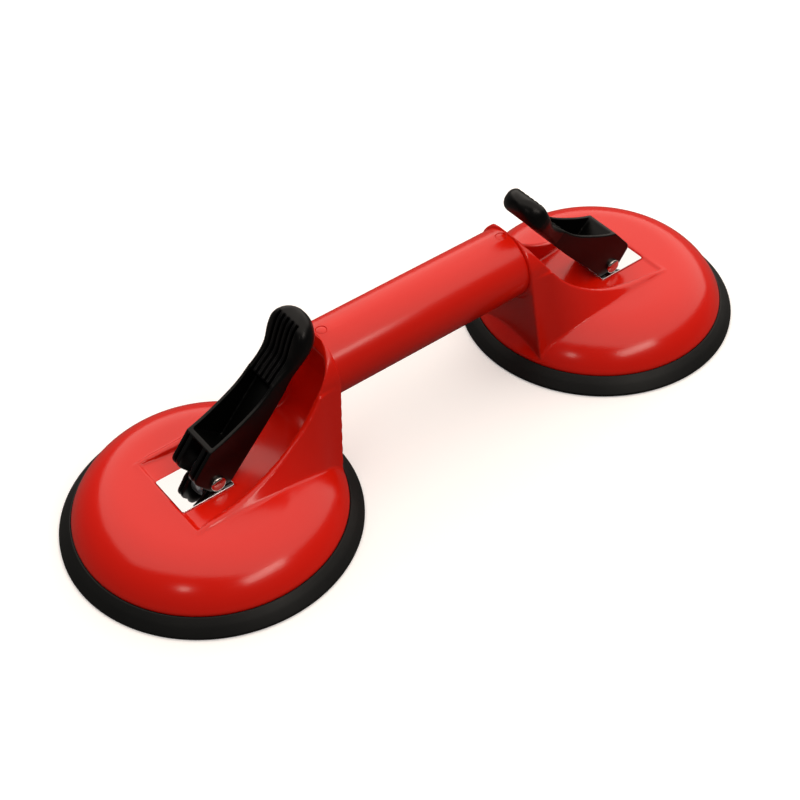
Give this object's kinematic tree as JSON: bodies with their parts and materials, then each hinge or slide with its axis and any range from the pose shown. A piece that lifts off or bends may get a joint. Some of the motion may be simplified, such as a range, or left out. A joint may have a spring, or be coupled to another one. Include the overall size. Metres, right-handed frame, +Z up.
{
  "type": "suction lifter",
  "caption": "Vacuum lifter for floor tiles and glass: round handle tube between domed cup housings, each with a rubber pad and a cam lever that pulls the pad's centre up.",
  "frame": {"origin": "on the surface that the pads stand on, midway between the two cups", "axes": "+X along the handle, +Y across it, +Z up, away from the surface that the pads grip"},
  "size_m": [0.323, 0.12, 0.0829],
  "materials": {
    "red_plastic": "glossy moulded red plastic",
    "red_paint": "glossy red paint on a steel tube",
    "chromed_plate": "mirror chrome",
    "black_rubber": "moulded black rubber with a dull sheen",
    "black_nylon": "moulded black nylon, half gloss",
    "plain_steel": "turned and pressed steel, zinc plated",
    "spring_steel": "drawn spring wire",
    "pin_steel": "bright nickel plate"
  },
  "bodies": {
    "frame": {"handle_tube": "red_paint", "left_housing": "red_plastic", "right_housing": "red_plastic", "left_wear_plate": "chromed_plate", "right_wear_plate": "chromed_plate", "left_rubber_pad": "black_rubber", "right_rubber_pad": "black_rubber", "left_return_spring": "spring_steel", "right_return_spring": "spring_steel", "left_handle_rivet": "red_paint", "right_handle_rivet": "red_paint"},
    "left_stud": {"left_pull_stud": "plain_steel", "left_pad_insert": "plain_steel", "left_pivot_pin": "pin_steel", "left_pin_washer": "pin_steel"},
    "right_stud": {"right_pull_stud": "plain_steel", "right_pad_insert": "plain_steel", "right_pivot_pin": "pin_steel", "right_pin_washer": "pin_steel"},
    "left_lever": {"left_cam_lever": "black_nylon"},
    "right_lever": {"right_cam_lever": "black_nylon"}
  },
  "joints": [
    {"name": "left_stud_lift", "type": "slide", "parent": "frame", "child": "left_stud", "axis": [0, 0, 1], "range_m": [0, 0.009], "deforming": ["left_return_spring"]},
    {"name": "right_stud_lift", "type": "slide", "parent": "frame", "child": "right_stud", "axis": [0, 0, 1], "range_m": [0, 0.009], "deforming": ["right_return_spring"]},
    {"name": "left_lever_hinge", "type": "hinge", "parent": "left_stud", "child": "left_lever", "pos_m": [-0.1015, 0, 0.02725], "axis": [0, -1, 0], "range_deg": [0, 129.3]},
    {"name": "right_lever_hinge", "type": "hinge", "parent": "right_stud", "child": "right_lever", "pos_m": [0.1015, 0, 0.02725], "axis": [0, 1, 0], "range_deg": [0, 129.3]}
  ],
  "couplings": [
    {"joint": "left_stud_lift", "follows": "left_lever_hinge", "m_per_rad": 0.003965},
    {"joint": "right_stud_lift", "follows": "right_lever_hinge", "m_per_rad": 0.003965}
  ]
}
